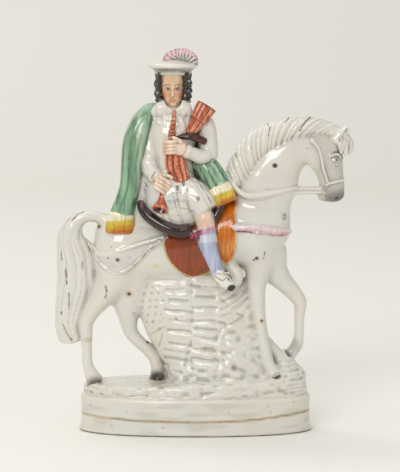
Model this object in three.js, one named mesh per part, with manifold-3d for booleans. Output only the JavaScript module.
// A Staffordshire flatback: a piper in Highland dress on a walking horse, over a rocky mound on an
// oval base. It is one hollow pressed piece of glazed earthenware, modelled here as one solid.
// Millimetres, +Z up, the front towards -Y, the origin in the middle of the underside.
import * as THREE from "three";
import { mergeVertices } from "three/addons/utils/BufferGeometryUtils.js";
import Module from "manifold-3d";

const wasm = await Module();
wasm.setup();

// Driving dimensions
const baseHalfLength = 110;
const baseHalfDepth = 44;
const plinthHeight = 34;
const groundHeight = 46;
const planSquareness = 2.2; // 2 is an ellipse, more is a squarer oval
const rockCourses = 6;
const moundHeight = 26; // of the slope under the raised hoof, above the level ground
const climbHeight = 9; // from the level ground to the foot of the rock
const lumpHeight = 1.1;
const weldTolerance = 0.8; // joins leave no edge shorter than this
const maneLocks = 12;
const tailStrands = 6;
const strapRise = 1.4; // how proud straps and the saddle cloth stand
const ventRadius = 3.5;
const ventDepth = 14;
const ventPlace = [-48, 6];

const turn = 2 * Math.PI;
const { sin, cos, abs, sign, min, max, exp } = Math;
const power = (value, exponent) => sign(value) * abs(value) ** exponent;
const bell = (distance, reach) => exp(-((distance / reach) ** 2));
const smooth = (value, low, high) => {
  const share = min(1, max(0, (value - low) / (high - low)));
  return share * share * (3 - 2 * share);
};

// A closed mesh from rings of points, each ring with as many points, and a pole at each end.
function skin(rings, firstPole, lastPole) {
  const sides = rings[0].length;
  const points = [...rings.flat(), firstPole, lastPole];
  const top = (rings.length - 1) * sides;
  const faces = [];
  for (let side = 0; side < sides; side++) {
    const next = (side + 1) % sides;
    faces.push(points.length - 2, next, side);
    faces.push(points.length - 1, top + side, top + next);
    for (let ring = 0; ring + 1 < rings.length; ring++) {
      const a = ring * sides + side;
      const b = ring * sides + next;
      faces.push(a, b, b + sides, a, b + sides, a + sides);
    }
  }
  const geometry = new THREE.BufferGeometry().setFromPoints(points);
  geometry.setIndex(faces);
  return geometry;
}

// A closed mesh as a solid that can be joined and cut. A mesh that is inside out is turned.
function solid(geometry) {
  geometry.deleteAttribute("normal");
  geometry.deleteAttribute("uv");
  const merged = mergeVertices(geometry, 1e-4);
  const vertProperties = merged.attributes.position.array;
  const triVerts = new Uint32Array(merged.index.array);
  const data = { numProp: 3, vertProperties, triVerts, tolerance: weldTolerance };
  const made = new wasm.Manifold(new wasm.Mesh(data));
  if (made.volume() > 0) return made;
  triVerts.reverse();
  return new wasm.Manifold(new wasm.Mesh(data));
}

// A round form along a smooth line through stations [x, y, z, half width, front depth, back depth].
// The half width lies in the picture plane. Steps are the rings from one station to the next, dome is
// how far the ends bulge, and a square over 2 makes the section boxy. Relief lifts the skin, by where
// it is along and around. With frontBias over 0, more of the sides lie on the front.
function limb(stations, shape = {}) {
  const { sides = 6, steps = 1, dome = 0.6, square = 2, frontBias = 0, relief = () => 0 } = shape;
  const line = new THREE.CatmullRomCurve3(stations.map(([x, y, z]) => new THREE.Vector3(x, y, z)));
  const sizes = stations.map(([, , , wide, front, back = front]) => new THREE.Vector3(wide, front, back));
  const girth = new THREE.CatmullRomCurve3(sizes);
  const towardsFront = new THREE.Vector3(0, -1, 0);
  const ringAt = (share, scale, shift) => {
    const centre = line.getPoint(share);
    const along = line.getTangent(share);
    const size = girth.getPoint(share);
    const forward = towardsFront.clone().addScaledVector(along, -towardsFront.dot(along)).normalize();
    const across = new THREE.Vector3().crossVectors(forward, along).normalize();
    centre.addScaledVector(along, shift * dome * min(size.x, size.y, size.z));
    if (scale === 0) return centre;
    return Array.from({ length: sides }, (_, side) => {
      const even = (side * turn) / sides;
      const angle = even + frontBias * cos(even);
      const depth = sin(angle) > 0 ? size.y : size.z;
      const lift = relief(share, angle, side);
      const wide = power(cos(angle), 2 / square) * size.x + cos(angle) * lift;
      const deep = power(sin(angle), 2 / square) * depth + sin(angle) * lift;
      return centre.clone().addScaledVector(across, wide * scale).addScaledVector(forward, deep * scale);
    });
  };
  const spans = (stations.length - 1) * steps;
  const rings = Array.from({ length: spans + 1 }, (_, ring) => ringAt(ring / spans, 1, 0));
  const eighth = turn / 8;
  rings.unshift(ringAt(0, cos(eighth), -sin(eighth)));
  rings.push(ringAt(1, cos(eighth), sin(eighth)));
  return solid(skin(rings, ringAt(0, 0, -1), ringAt(1, 0, 1)));
}

// As many stations as asked for, evenly shared along the smooth line through the given ones.
function evenStations(stations, spans) {
  const places = new THREE.CatmullRomCurve3(stations.map(([x, y, z]) => new THREE.Vector3(x, y, z)));
  const sizes = new THREE.CatmullRomCurve3(stations.map(([, , , ...size]) => new THREE.Vector3(...size)));
  return Array.from({ length: spans + 1 }, (_, i) => [
    ...places.getPoint(i / spans).toArray(),
    ...sizes.getPoint(i / spans).toArray(),
  ]);
}

// The stations of a form made fatter all round, for what lies on it.
const fatter = (stations, by) =>
  stations.map(([x, y, z, wide, front, back = front]) => [x, y, z, wide + by, front + by, back + by]);

// A flat outline of [x, z] corners, rounded by a closed curve and pushed through from one y to another.
function cutter(corners, fromY, toY) {
  const curve = new THREE.CatmullRomCurve3(corners.map(([x, z]) => new THREE.Vector3(x, z, 0)), true);
  const outline = curve.getPoints(2 * corners.length).slice(0, -1);
  const shape = new THREE.Shape(outline.map(({ x, y }) => new THREE.Vector2(x, y)));
  const plate = new THREE.ExtrudeGeometry(shape, { depth: toY - fromY, bevelEnabled: false });
  return solid(plate.rotateX(turn / 4).translate(0, toY, 0));
}

// The base: a plinth with a slight waist, and lumpy ground over it that climbs to the rock

// The air hole in the underside that lets a hollow piece be fired.
function vent() {
  const hole = new THREE.CylinderGeometry(ventRadius, ventRadius, 2 * ventDepth, 12);
  return solid(hole.rotateX(turn / 4).translate(...ventPlace, 0));
}

// How high the ground stands: nearly level on the left, climbing to the foot of the rock and falling
// down a steep slope at the right end. Shallow lumps roughen it.
function groundAt(x, y) {
  const climb = climbHeight * smooth(x, -30, 5) * bell(y, 34);
  const mound = moundHeight * bell(x - 80, 17) * bell(y - 4, 26);
  const lumps = lumpHeight * sin(x / 5.1 + y / 7) * cos(y / 4.3 - x / 9);
  return groundHeight + climb + mound + lumps;
}

// One skin from the foot of the plinth over its edge and across the ground. Each ring of the plan has
// an inset from the full size, a share of that size, and the share of the ground's rise it has reached.
function base() {
  const sides = 28;
  const rows = [
    { z: 0, inset: 2 },
    { z: 2, inset: 0 },
    { z: 13, inset: 2.2 },
    { z: plinthHeight, inset: 1.6 },
    { z: plinthHeight + 0.8, inset: 4, risen: 0.1 },
    { inset: 4.4, share: 0.97, risen: 0.8 },
    { inset: 4.4, share: 0.86, risen: 1 },
    { inset: 4.4, share: 0.66, risen: 1 },
    { inset: 4.4, share: 0.42, risen: 1 },
  ];
  const rings = rows.map(({ z = plinthHeight, inset, share = 1, risen = 0 }) =>
    Array.from({ length: sides }, (_, side) => {
      const angle = (side * turn) / sides;
      const x = power(cos(angle), 2 / planSquareness) * (baseHalfLength - inset) * share;
      const y = power(sin(angle), 2 / planSquareness) * (baseHalfDepth - inset) * share;
      return new THREE.Vector3(x, y, z + (groundAt(x, y) - plinthHeight) * risen);
    }),
  );
  return solid(skin(rings, new THREE.Vector3(0, 0, 0), new THREE.Vector3(0, 0, groundAt(0, 0))));
}

// The rock between the belly and the ground. Its face is laid in short level courses, like a wall, and
// the stones of one course bulge where those of the next are hollow.
function rock() {
  const stations = [
    [18, 0, 38, 58, 35, 31],
    [17, 0, 56, 53, 31, 28],
    [13, 0, 75, 53, 27, 25],
    [4, 0, 94, 56, 24, 24],
    [1, 0, 112, 58, 21.5, 22],
    [2, 0, 131, 58, 20, 20],
    [4, 0, 150, 52, 18, 18],
  ];
  const relief = (share, angle, side) =>
    (sin(angle) > -0.2 ? 1.8 : 0.8) * cos(turn * (rockCourses * share + side / 4));
  return limb(stations, { sides: 15, steps: 2, square: 2.5, frontBias: 0.5, relief });
}

// The horse, mostly seen from its near side. The neck runs down inside the chest.

const barrelSides = 12;
const hoofed = { sides: 7, dome: 0.35 };
const barrelLine = [
  [-84, 1, 178, 21, 17, 17],
  [-76, 1, 175, 29, 23, 21],
  [-60, 1, 173, 32, 26, 23],
  [-36, 1, 172.5, 31.5, 26, 23],
  [-8, 1, 174.5, 31, 26, 23],
  [20, 1, 181, 32, 26, 23],
  [44, 1, 187, 32.5, 25, 22],
  [62, 1, 189, 25, 21, 19],
];
const neckLine = [
  [64, 1, 160, 20, 17, 16],
  [59, 1, 175, 28.5, 22, 19],
  [58, 1, 193, 31, 23.5, 20],
  [60, 1, 212, 29.5, 21, 18],
  [68, 1, 234, 27, 17.5, 15],
  [79, 1, 253, 22.5, 15, 13],
  [95, 1, 265, 16.5, 13.5, 12],
  [112, 1, 268, 15, 12, 11],
];
const headLine = [
  [113, 1, 277, 11.5, 10.5, 10],
  [119.5, 1, 264.5, 17.6, 13, 11],
  [123, 1, 252, 15.4, 12.5, 11],
  [126.4, 1, 240, 12.2, 11, 10],
  [127.8, 1, 230, 11.8, 10.5, 9.5],
  [128.2, 1, 221.5, 10.2, 9, 8.5],
];
const tailLine = [
  [-82, 0, 198, 6, 9, 8],
  [-94, 0, 202, 5, 8, 7],
  [-104, 0, 201.6, 5.6, 8.5, 7.5],
  [-113, 0, 195, 8, 9.5, 8],
  [-117, 0, 182, 12.6, 11, 9],
  [-112, 0, 163, 18.6, 12, 10],
  [-111.4, 0, 138, 18.8, 12, 10],
  [-116.5, 0, 112, 15.2, 11.5, 10],
  [-118.8, 0, 98, 12.8, 10.5, 9],
  [-117.6, 0, 86, 10.6, 9, 8],
];
const maneLine = [
  [36, 0, 236, 10, 15, 12],
  [43, 0, 251, 12, 15.5, 12],
  [54, 0, 266, 13, 15, 12],
  [69, 0, 277, 13.5, 14.5, 11],
  [87, 0, 284, 11.5, 13.5, 10],
  [108, 0, 286.5, 8.8, 11.5, 9],
  [124, 0, 284, 6.4, 9, 8],
  [133, 0, 280.5, 5.4, 8, 7],
];

// Legs, from the haunch or shoulder down to the hoof
const nearHindLeg = [
  [-72, -2, 166, 25, 23, 18],
  [-76, -4, 145, 20, 20, 15],
  [-84, -6, 128, 13.4, 15, 12],
  [-94.5, -8, 114, 9, 10, 9],
  [-101.8, -8, 103, 7.2, 8, 8],
  [-102.4, -8, 90, 5.8, 6.5, 6.5],
  [-101.8, -8, 75, 4.8, 5.5, 5.5],
  [-101, -8, 62, 5, 6, 6],
  [-97.6, -9, 53.5, 6.6, 6.5, 6.5],
  [-94.2, -10, 47, 8.4, 7, 7],
];
const farHindLeg = [
  [-60, 1, 160, 27, 20, 17],
  [-64, 1, 138, 22, 17, 15],
  [-63.5, 1, 117, 14, 13, 13],
  [-63, 2, 103, 8.6, 10, 10],
  [-60.5, 3, 91.5, 6.8, 8, 8.5],
  [-53.5, 3, 83, 6, 7, 7],
  [-45, 3, 75, 5.6, 6.5, 6.5],
  [-38.5, 3, 66, 5.4, 6.5, 6.5],
  [-36.2, 3, 56.5, 6, 7, 7],
  [-35.6, 2, 48, 8, 7.5, 7.5],
];
const nearForeleg = [
  [62, 0, 176, 17, 16, 16],
  [59, -4, 155, 14, 15, 13],
  [57.3, -8, 137, 9, 12.5, 11],
  [58.4, -10, 119, 7.2, 10, 10],
  [61, -11, 100, 6, 9, 9],
  [65, -13, 80, 5.6, 8, 9],
  [68.6, -15, 65, 5.6, 8, 9],
  [73.5, -18, 55, 7, 7.5, 8],
];
const farForeleg = [
  [70, 3, 171, 15, 16, 14],
  [76, 4, 154, 11.6, 12, 12],
  [84, 5, 140, 8.6, 9, 9],
  [93, 6, 128.5, 7.6, 7.5, 7.5],
  [98.6, 6, 119.5, 6.6, 7, 7],
  [98, 6, 106, 4.9, 5.5, 5.5],
  [97.8, 6, 91, 4.7, 5.5, 5.5],
  [96, 6, 79.5, 5.8, 6, 6],
  [91.4, 6, 72.5, 5.6, 6, 6],
  [86.5, 5, 68, 6.4, 6, 6],
];

function tail() {
  const relief = (share, angle, side) => (side % 2 ? -1.5 : 0) * smooth(share, 0.15, 0.45);
  return limb(tailLine, { sides: 2 * tailStrands, relief });
}

function mane() {
  const relief = (share) => 1.4 * cos(turn * maneLocks * share);
  return limb(evenStations(maneLine, 2 * maneLocks), { relief });
}

function horse() {
  const ear = [
    [133, -6, 276, 5, 3.6, 3],
    [138.5, -6, 282.5, 3.2, 2.4, 2],
    [142.8, -5.5, 287, 0.9, 0.9, 0.9],
  ];
  const farEar = ear.map(([x, y, z, ...size]) => [x - 2, -y, z - 0.5, ...size]);
  const forelock = [
    [130, 0, 280, 7, 8.5, 8],
    [141, 0, 271, 6.6, 8, 8],
    [142, 0, 261, 4.4, 6, 5],
  ];
  return [
    limb(barrelLine, { sides: barrelSides }),
    limb(neckLine, { sides: 10 }),
    limb(headLine, { sides: 9, square: 2.2 }),
    limb(ear, { sides: 5 }),
    limb(farEar, { sides: 5 }),
    limb(forelock),
    tail(),
    mane(),
    ...[nearHindLeg, farHindLeg, nearForeleg, farForeleg].map((leg) => limb(leg, hoofed)),
  ];
}

// The saddle cloth: the barrel made fatter, kept only inside the outline of each flap
function saddleCloth() {
  const fatBarrel = limb(fatter(barrelLine, strapRise), { sides: barrelSides });
  const rearFlap = [
    [-29.5, 190],
    [-28.5, 174],
    [-21, 159],
    [-8, 148.5],
    [3, 147.5],
    [13, 152],
    [16, 190],
  ];
  const frontFlap = [
    [22, 205],
    [24, 216],
    [37, 219],
    [37.5, 192],
    [37, 172],
    [30, 160],
    [24, 166],
    [20, 188],
  ];
  const [outside, inside] = [-60, -2];
  return [rearFlap, frontFlap].map((outline) => fatBarrel.intersect(cutter(outline, outside, inside)));
}

// Straps lie half sunk in the horse. The bar is the rein's stretch across the throat.
function straps() {
  const breastStrap = [
    [34, -22.5, 194.5, 3.6, 3],
    [57, -22.5, 193.5, 3.8, 3],
    [73, -18.5, 191, 3.6, 3],
    [86, -9, 189, 3.4, 3],
  ];
  const hipStrap = [
    [-99, -9, 178, 2.4, 3],
    [-91, -17, 169, 2.4, 3],
    [-73, -24, 172, 2.4, 3],
    [-52, -25, 179, 2.2, 3],
    [-27, -25, 186, 2, 3],
  ];
  const swag = [
    [-94, -14, 167, 1.8, 3],
    [-85, -20.5, 156.5, 1.9, 3],
    [-70, -22, 151.5, 2, 3],
    [-54, -23.5, 162, 1.9, 3],
    [-45, -24.5, 171, 1.8, 3],
    [-29, -25, 184, 1.6, 3],
  ];
  const rein = [
    [36, -13, 232, 2.6, 3],
    [43, -18, 224, 3, 3],
    [58, -19.5, 221, 3.2, 3],
    [74, -17, 222, 3.2, 3],
    [92, -6, 226, 3.6, 4],
  ];
  const bar = [
    [88, -3, 227, 4.4, 5, 4],
    [104, -3, 226.6, 4, 4, 4],
    [120, -3, 226.8, 4.4, 5, 4],
  ];
  const cheekStrap = [
    [107, -11, 275, 1.7, 2.6, 2],
    [115, -11.6, 255, 1.7, 2.6, 2],
    [123, -10.6, 234, 1.7, 2.6, 2],
  ];
  const noseband = [
    [122, -9.6, 233.5, 1.5, 3, 2],
    [131, -9.8, 235.5, 1.5, 3, 2],
    [138, -6.5, 236.5, 1.5, 3, 2],
  ];
  const lines = [breastStrap, hipStrap, swag, rein, bar, cheekStrap, noseband];
  return lines.map((line) => limb(line, { sides: 5 }));
}

// The rider, who faces out of the picture with one leg hanging on the near side

function headAndHat() {
  const hat = [
    [0, 334.8],
    [16.6, 335.4],
    [18.8, 338.6],
    [23.6, 342.6],
    [21, 345.6],
    [0, 351.6],
  ].map(([radius, z]) => new THREE.Vector2(radius, z));
  const lathe = new THREE.LatheGeometry(hat, 14).rotateX(turn / 4).scale(1, 0.8, 1);
  const skull = [
    [-21, -4, 304.5, 4.4, 5, 6],
    [-21, -4, 309, 7.6, 9, 9],
    [-21, -4, 316, 9.8, 11, 11],
    [-21, -4, 324, 10.9, 11.6, 12],
    [-21, -4, 338, 10.6, 11, 12],
  ];
  const nose = [
    [-21, -14.6, 324, 1.1, 1.4, 1.4],
    [-21, -15.8, 319, 1.7, 1.9, 1.9],
  ];
  const hairBack = [
    [-20.5, 1, 337, 15.5, 9, 9],
    [-20.5, 1, 322, 15.6, 10, 11],
    [-20.5, 1, 309, 14.5, 9, 10],
  ];
  const neck = [
    [-20.5, -3, 298, 8, 8, 8],
    [-20.8, -3.5, 308, 7, 7.6, 8],
  ];
  const leftRinglets = [
    [-32.6, -4, 338, 4.2, 6],
    [-33.6, -5, 323, 4.2, 6.5],
    [-32.6, -5, 309.5, 4.6, 6],
  ];
  const rightRinglets = [
    [-9, -4, 338, 4.6, 6],
    [-7.8, -5, 324, 4.8, 6.5],
    [-8.2, -5, 311.5, 4.6, 6],
  ];
  const curl = (share, angle) => 1.1 * cos(turn * 3 * share + angle);
  return [
    solid(lathe.translate(-20.6, -2, 0)),
    limb(skull, { sides: 9 }),
    limb(nose, { sides: 4 }),
    limb(hairBack),
    limb(neck),
    ...[leftRinglets, rightRinglets].map((line) => limb(line, { steps: 3, relief: curl })),
  ];
}

function feather() {
  const line = [
    [-29, -9, 347, 2.4, 3, 3],
    [-25, -9, 352, 3.6, 3.4, 3.4],
    [-17, -9, 354.2, 4.8, 3.8, 3.8],
    [-8.5, -9, 353.4, 5.4, 3.8, 3.8],
    [-2, -8, 348.6, 4.6, 3.4, 3.4],
    [0.4, -7, 344.5, 2.4, 2.4, 2.4],
  ];
  const barbs = 6;
  const relief = (share) => 0.6 * cos(turn * barbs * share);
  return limb(evenStations(line, 2 * barbs), { sides: 5, relief });
}

function body() {
  const torso = [
    [-22, -4, 234, 22, 17, 12],
    [-23, -4, 258, 21, 17, 12],
    [-22, -4, 274, 23, 17, 12],
    [-20, -3, 289, 25, 15, 12],
    [-19, -3, 301, 15, 11, 10],
  ];
  const coatSkirt = [
    [-36, -3, 254, 15, 12, 10],
    [-42, -4, 228, 17, 14, 12],
    [-48, -4, 196, 18, 15, 13],
  ];
  const collar = [
    [-34, -9, 302, 4, 4],
    [-31, -14, 295.5, 4.6, 4],
    [-22, -17, 291, 4.6, 4],
    [-13, -15.5, 294.5, 4.8, 4],
    [-7, -9, 302, 4, 4],
  ];
  const ruffle = [
    [-14, -17, 300, 2.6, 3],
    [-14.5, -19, 291, 3.4, 3],
    [-15.5, -19.5, 284, 2.2, 2.4],
  ];
  const leftArm = [
    [3, -4, 296, 9, 9],
    [9, -5, 287, 9.4, 9],
    [11.4, -7, 273, 9.2, 9],
    [11.6, -10, 261, 8.6, 8.5],
    [5, -16, 259.8, 6.8, 7],
    [-4, -20, 263, 6.2, 6],
    [-11.5, -22.5, 266.4, 5.8, 5.5],
  ];
  const rightArm = [
    [-38, -4, 296, 8, 8],
    [-44, -6, 280, 9, 9],
    [-47, -8, 262, 9, 9],
    [-47, -13, 250, 8, 8],
    [-43, -19, 245, 7, 7],
    [-37, -23, 242, 6, 6],
  ];
  return [
    limb(torso, { sides: 8 }),
    limb(coatSkirt),
    limb(collar, { sides: 5 }),
    limb(ruffle, { sides: 5 }),
    limb(leftArm),
    limb(rightArm),
  ];
}

// A closed hand. Its four curled fingers are the ridges of one form that runs across the knuckles,
// square to the way the hand points.
function hand([x, y, z], tilt) {
  const fingers = 4;
  const reach = 7;
  const station = (out) => [x - out * sin(tilt), y, z + out * cos(tilt), 6.6, 6];
  const relief = (share) => -0.7 * cos(turn * fingers * share);
  return limb(evenStations([station(-reach), station(0), station(reach)], 2 * fingers), { sides: 5, relief });
}

function kiltAndLeg() {
  const pleats = (share, angle, side) => (side % 2 ? -1.2 : 0.6) * smooth(share, 0.2, 0.8);
  const kilt = [
    [-22, -6, 244, 20.5, 16.5, 14],
    [-22, -8, 234, 25.5, 20, 14],
    [-19, -10, 222, 30, 22.5, 14],
    [-17, -12, 210, 30, 21.5, 14],
    [-14, -12, 198, 25, 18, 12],
  ];
  const lap = [
    [-14, -16, 230, 13, 12, 10],
    [-4, -20, 222, 14.5, 12.5, 10],
    [4.5, -22, 212, 12.5, 12.5, 10],
    [9, -23, 204, 10, 11.5, 9],
  ];
  const leg = [
    [6, -27, 211, 8.6, 9, 8],
    [9, -30, 198, 9, 9.2, 8],
    [10.4, -31.5, 187, 9.8, 8.6, 8],
    [13.4, -32, 174, 8, 8, 8],
    [21.8, -34, 151.5, 5.8, 6, 7],
  ];
  const garter = [
    [9.4, -30.8, 193, 10.6, 9.6, 8],
    [9.9, -31.2, 189.6, 10.6, 9.6, 8],
  ];
  const shoe = [
    [20.4, -33, 150.5, 5.4, 6, 6],
    [25, -35, 146.4, 6, 6, 7],
    [31, -36.5, 142, 5, 5.4, 7],
    [34.4, -37, 139.6, 3.8, 4.2, 6],
  ];
  return [
    limb(kilt, { sides: 12, frontBias: 0.5, relief: pleats }),
    limb(lap),
    limb(leg),
    limb(garter, { dome: 0.15 }),
    limb(shoe),
  ];
}

function cloak() {
  const hanging = [
    [-36, -3, 306, 4, 6, 8],
    [-43, -4, 300, 8.4, 9, 10],
    [-49.5, -5, 289, 11, 12, 12],
    [-55.2, -6, 270, 12.2, 13.8, 12],
    [-58, -7.5, 250, 11.2, 14, 12],
    [-60.4, -9, 229, 10.6, 13.5, 12],
    [-64.5, -11, 216, 11, 12.5, 12],
    [-68, -13, 205.5, 11.6, 11, 12],
  ];
  const hangingFringe = [
    [-68.4, -14, 205, 11.2, 9.4, 9],
    [-70, -14, 197, 13.4, 10.6, 9],
    [-70.4, -14, 189.5, 13, 11, 9],
  ];
  const swept = [
    [4, -9, 256, 9, 8, 9],
    [13, -12, 246, 11, 9.2, 9],
    [21, -15, 231.4, 11.6, 9.5, 9],
  ];
  const sweptFringe = [
    [21.6, -15.4, 230.4, 11, 9, 9],
    [24.6, -17, 224, 11.6, 10.6, 9],
    [27.4, -18, 217, 11.4, 10.6, 9],
  ];
  const back = [
    [-20, 6, 303, 14, 5, 8],
    [-20, 6, 288, 30, 5, 9],
    [-24, 6, 250, 40, 5, 10],
    [-30, 7, 210, 46, 5, 10],
  ];
  const folds = (share, angle, side) => (side % 2 ? -1.6 : 0.8) * smooth(share, 0.1, 0.5);
  const threads = (share, angle, side) => (side % 2 ? -0.8 : 0.4);
  const fringe = { sides: 14, square: 3, dome: 0.2, relief: threads };
  return [
    limb(hanging, { sides: 10, relief: folds, dome: 0.3 }),
    limb(hangingFringe, fringe),
    limb(swept, { sides: 10, relief: folds, square: 2.6, dome: 0.3 }),
    limb(sweptFringe, fringe),
    limb(back, { sides: 8, square: 2.6 }),
  ];
}

// The saddle's dark roll, behind and before the thigh
function saddle() {
  const rear = [
    [-50.5, -21, 215.5, 3.6, 5, 5],
    [-47.5, -24, 209.5, 4.4, 5, 6],
    [-41, -27, 203, 4.8, 5.4, 7],
    [-32, -30, 197, 4.9, 5.6, 9],
    [-22.5, -31.5, 193, 5.1, 5.6, 9],
    [-13.5, -32, 191.2, 5.5, 5.6, 9],
    [-6, -32, 192.6, 5.8, 5.4, 8],
  ];
  const front = [
    [16, -25, 200, 3.4, 5, 8],
    [20.5, -24, 208, 4, 5, 8],
    [24, -21, 215, 4, 5, 8],
  ];
  return [limb(rear, { sides: 7 }), limb(front)];
}

// The bagpipe: three drones over the shoulder, the bag under the arm, the chanter and its flared end
function bagpipe() {
  const drones = [
    [-4.6, -16, 281, 4.6, 4, 4],
    [2.8, -14.5, 293.4, 7.4, 4.6, 5],
    [10.4, -12, 306, 9.4, 5, 5],
  ];
  const bag = [
    [-17, -19, 277.4, 1.6, 3, 3],
    [-11, -19, 278.4, 3.4, 4.6, 4],
    [-3, -18.5, 278.2, 4.4, 5, 4],
    [4.5, -17, 275.8, 4.4, 4.6, 4],
    [7.6, -16, 273.6, 3.6, 4, 4],
  ];
  const blowpipe = [
    [-19.4, -18.5, 301, 1.5, 2, 2],
    [-21, -21, 289, 2.4, 2.6, 3],
    [-21.8, -21.6, 281, 3, 3, 4],
  ];
  const pipes = [
    [-18.4, -21, 264, 7.6, 4.6, 5],
    [-18, -22.5, 252, 9.6, 5.4, 6],
    [-14.2, -23.5, 238.5, 7.8, 5, 6],
  ];
  const chanter = [
    [-29.6, -27, 231, 2.6, 2.6, 3],
    [-30.4, -28.6, 224, 3, 3, 3],
    [-31.6, -30, 217, 4.6, 4.2, 4],
    [-33.2, -31.6, 210.8, 7, 6.4, 5],
  ];
  const mouth = [
    [-32.6, -35, 213, 3, 3, 3],
    [-33.6, -40, 207.6, 6.6, 6, 6],
  ];
  const flutes = (share, angle, side) => (side % 2 ? -1 : 0.5);
  const fluted = { sides: 12, dome: 0.3, relief: flutes };
  return [
    limb(drones, { ...fluted, square: 2.6 }),
    limb(bag),
    limb(blowpipe),
    limb(pipes, fluted),
    limb(chanter, { sides: 9, dome: 0.3 }).subtract(limb(mouth)),
  ];
}

// Everything is fired as one piece, so all the forms are joined
const chanterHand = hand([-20.5, -23.5, 269.6], turn / 2 - 0.15);
const kneeHand = hand([-29, -25.5, 236.8], -0.75);
const forms = [
  base(),
  rock(),
  ...horse(),
  ...saddleCloth(),
  ...straps(),
  ...headAndHat(),
  feather(),
  ...body(),
  chanterHand,
  kneeHand,
  ...kiltAndLeg(),
  ...cloak(),
  ...saddle(),
  ...bagpipe(),
];
const figure = wasm.Manifold.union(forms).subtract(vent());

// Where several forms meet, a pocket smaller than a grain can be shut in between them. Clay fills it,
// so only the skin that a point of the underside lies on is kept.
function outerSkin(positions, corners) {
  const skinOf = Uint32Array.from({ length: positions.length / 3 }, (_, point) => point);
  const first = (point) => {
    while (skinOf[point] !== point) point = skinOf[point];
    return point;
  };
  corners.forEach((point, i) => {
    const [one, other] = [first(point), first(corners[i - (i % 3)])];
    skinOf[max(one, other)] = min(one, other);
  });
  const under = skinOf.findIndex((_, point) => positions[3 * point + 2] === 0);
  return corners.filter((point) => first(point) === first(under));
}

const { numProp, vertProperties, triVerts } = figure.getMesh();
const geometry = new THREE.BufferGeometry();
geometry.setAttribute("position", new THREE.BufferAttribute(new Float32Array(vertProperties), numProp));
geometry.setIndex(new THREE.BufferAttribute(outerSkin(vertProperties, triVerts), 1));
geometry.computeVertexNormals();

const glazedEarthenware = new THREE.MeshStandardMaterial({ color: "#e8e6df", roughness: 0.15, metalness: 0 });
const mesh = new THREE.Mesh(geometry, glazedEarthenware);
mesh.name = "figure";

const part = new THREE.Group();
part.add(mesh);
export default part;
